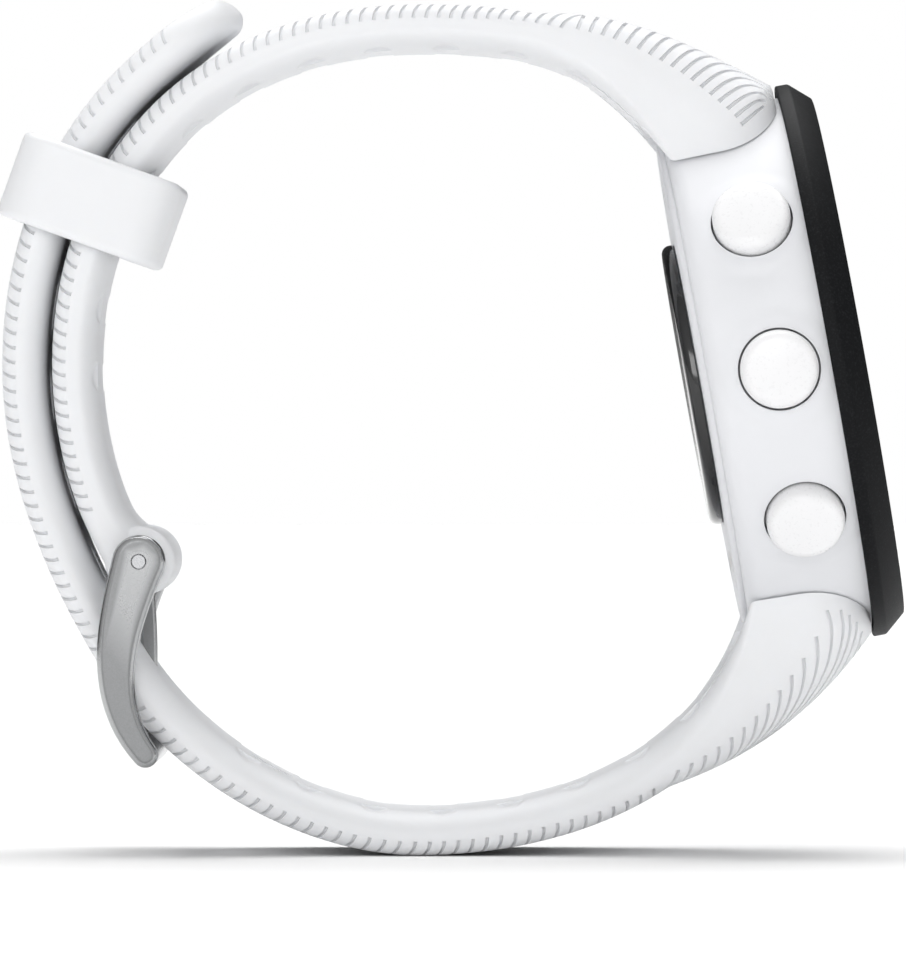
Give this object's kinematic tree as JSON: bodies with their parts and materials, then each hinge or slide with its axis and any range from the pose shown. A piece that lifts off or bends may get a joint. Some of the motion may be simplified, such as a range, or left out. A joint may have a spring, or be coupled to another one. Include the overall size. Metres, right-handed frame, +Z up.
{
  "type": "gps running watch",
  "caption": "Round running watch with five push buttons, a wrist sensor back and a two-piece buckled strap closed in a loop.",
  "frame": {"origin": "middle of the strap loop, on the forearm's axis and midway across the strap", "axes": "+Y along the forearm axis, from 9 o'clock to 3 o'clock of the watch; +X from the buckle to the watch head; +Z up, towards 12 o'clock"},
  "size_m": [0.0633, 0.0402, 0.0601],
  "materials": {
    "case_plastic": "fine satin moulded",
    "bezel_plastic": "dark satin, finely textured",
    "lens_glass": "polished",
    "black_rubber": "matte",
    "black_ink": "flat black",
    "display": "transflective grey",
    "diffuser": "milky",
    "grey_plastic": "moulded",
    "board": "solder mask",
    "chips": "moulded",
    "cell": "foil",
    "antenna_brass": "plated",
    "steel": "turned",
    "tungsten": "sintered",
    "sensor_plastic": "polished black",
    "contact_gold": "gold plated",
    "strap_silicone": "soft satin white",
    "buckle_steel": "bead-blasted with bright edges",
    "keeper_silicone": "smooth satin white",
    "button_plastic": "soft gloss white"
  },
  "bodies": {
    "watch": {"case_shell": "case_plastic", "bezel": "bezel_plastic", "lens": "lens_glass", "lens_seal": "black_rubber", "dial_ring": "black_ink", "display_panel": "display", "light_guide": "diffuser", "display_frame": "grey_plastic", "main_board": "board", "board_chips": "chips", "battery": "cell", "gps_antenna": "antenna_brass", "motor_can": "steel", "motor_shaft": "steel", "piezo_disc": "antenna_brass", "back_cover": "case_plastic", "back_gasket": "black_rubber", "back_screws": "steel", "sensor_window": "sensor_plastic", "sensor_board": "board", "sensor_leds": "diffuser", "charge_contacts": "contact_gold", "button_switches": "chips", "button_seals": "black_rubber", "upper_lug_bar": "steel", "lower_lug_bar": "steel", "lug_bar_tips": "steel", "lug_bar_springs": "steel", "strap_upper": "strap_silicone", "strap_lower": "strap_silicone", "buckle_pin": "steel"},
    "light_button": {"light_button": "button_plastic", "light_clip": "steel"},
    "up_button": {"up_button": "button_plastic", "up_clip": "steel"},
    "down_button": {"down_button": "button_plastic", "down_clip": "steel"},
    "start_button": {"start_button": "button_plastic", "start_clip": "steel"},
    "back_button": {"back_button": "button_plastic", "back_clip": "steel"},
    "buckle_frame": {"buckle_frame": "buckle_steel"},
    "buckle_tongue": {"buckle_tongue": "buckle_steel"},
    "keeper": {"keeper": "keeper_silicone"},
    "motor_weight": {"motor_weight": "tungsten"}
  },
  "joints": [
    {"name": "light_press", "type": "slide", "parent": "watch", "child": "light_button", "axis": [0.0977, 0.8339, -0.5432], "range_m": [0, 0.0005], "stiffness_N_per_m": 800},
    {"name": "up_press", "type": "slide", "parent": "watch", "child": "up_button", "axis": [0, 1, 0], "range_m": [0, 0.0005], "stiffness_N_per_m": 800},
    {"name": "down_press", "type": "slide", "parent": "watch", "child": "down_button", "axis": [-0.0977, 0.8339, 0.5432], "range_m": [0, 0.0005], "stiffness_N_per_m": 800},
    {"name": "start_press", "type": "slide", "parent": "watch", "child": "start_button", "axis": [0.0977, -0.8339, -0.5432], "range_m": [0, 0.0005], "stiffness_N_per_m": 800},
    {"name": "back_press", "type": "slide", "parent": "watch", "child": "back_button", "axis": [-0.0977, -0.8339, 0.5432], "range_m": [0, 0.0005], "stiffness_N_per_m": 800},
    {"name": "buckle_swing", "type": "hinge", "parent": "watch", "child": "buckle_frame", "pos_m": [-0.0174, 0, -0.0091], "axis": [0, 1, 0], "range_deg": [0, 5]},
    {"name": "tongue_swing", "type": "hinge", "parent": "buckle_frame", "child": "buckle_tongue", "pos_m": [-0.0174, 0, -0.0091], "axis": [0, 1, 0], "range_deg": [0, 3]},
    {"name": "keeper_slide", "type": "hinge", "parent": "watch", "child": "keeper", "pos_m": [0.00069, 0, 0.00615], "axis": [0, 1, 0], "range_deg": [-8, 6]},
    {"name": "motor_spin", "type": "hinge", "parent": "watch", "child": "motor_weight", "pos_m": [0.02331, 0, 0.01488], "axis": [0.9842, 0, 0.1771], "continuous": true}
  ]
}
